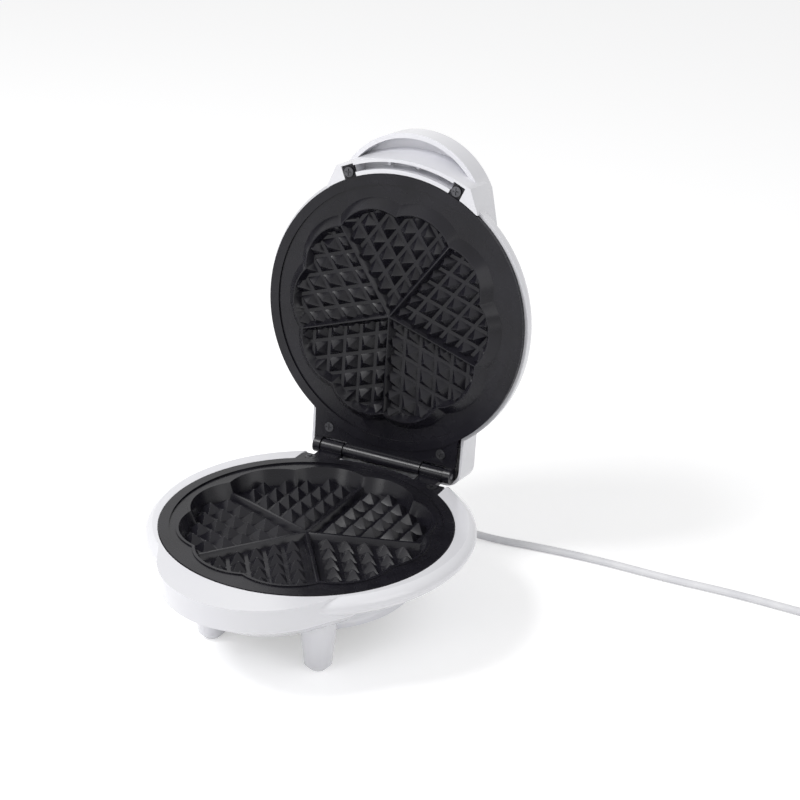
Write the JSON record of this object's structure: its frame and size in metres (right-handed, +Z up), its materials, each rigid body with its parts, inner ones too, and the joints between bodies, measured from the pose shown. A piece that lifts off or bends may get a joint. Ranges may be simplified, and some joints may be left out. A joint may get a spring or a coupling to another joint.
{
  "type": "heart waffle maker",
  "caption": "Round electric waffle maker with heart-shaped moulds, its hinged lid resting open, on short legs, with a mains lead and plug.",
  "frame": {"origin": "on the table, below the middle of the box around the waffle maker with its lid open, cord left out", "axes": "+Z up, +Y from the handle side to the hinge side, +X along the hinge to the right as seen from the handle side"},
  "size_m": [0.5354, 0.384, 0.3074],
  "materials": {
    "shell_plastic": "glossy white, moulded, heat resistant",
    "cover_plastic": "fine matt, dark grey",
    "plate_coating": "cast, with a satin blue-black non-stick coating",
    "screw_steel": "blackened",
    "pin_steel": "ground",
    "element_sheath": "dull, heat stained",
    "sheet_steel": "zinc plated sheet",
    "reflector_sheet": "bright pressed sheet",
    "heat_plastic": "matt, heat resistant",
    "wire_silicone": "silicone insulation",
    "grommet_rubber": "soft black",
    "cord_sheath": "smooth white flexible sheath",
    "plug_plastic": "moulded on, fine matt white",
    "plug_metal": "nickel plated",
    "fuse_metal": "bare",
    "lens_red": "clear tinted red",
    "lens_green": "clear tinted green",
    "lamp_glass": "clear"
  },
  "bodies": {
    "base": {"base_shell": "shell_plastic", "bottom_cover": "cover_plastic", "bottom_cover_screws": "screw_steel", "lower_plate": "plate_coating", "lower_plate_screws": "screw_steel", "lower_element": "element_sheath", "lower_element_clamp": "sheet_steel", "lower_clamp_screws": "screw_steel", "lower_reflector": "reflector_sheet", "hinge_pin": "pin_steel", "terminal_block": "heat_plastic", "base_leads": "wire_silicone", "cord_clamp": "heat_plastic", "cord_clamp_screws": "screw_steel", "strain_relief": "cord_sheath", "base_grommet": "grommet_rubber", "power_cord": "cord_sheath", "cord_coil": "cord_sheath", "plug_body": "plug_plastic", "plug_pins": "plug_metal", "earth_strips": "plug_metal"},
    "lid": {"lid_shell": "shell_plastic", "upper_plate": "plate_coating", "upper_plate_screws": "screw_steel", "upper_element": "element_sheath", "upper_element_clamp": "sheet_steel", "upper_clamp_screws": "screw_steel", "upper_reflector": "reflector_sheet", "thermostat": "heat_plastic", "thermostat_bracket": "sheet_steel", "thermostat_screws": "screw_steel", "thermal_fuse": "fuse_metal", "power_lens": "lens_red", "ready_lens": "lens_green", "lamp_bulbs": "lamp_glass", "lid_leads": "wire_silicone", "lid_grommet": "grommet_rubber"}
  },
  "joints": [
    {"name": "lid_hinge", "type": "hinge", "parent": "base", "child": "lid", "pos_m": [0, 0.0884, 0.0732], "axis": [1, 0, 0], "range_deg": [0, 95.3]}
  ]
}
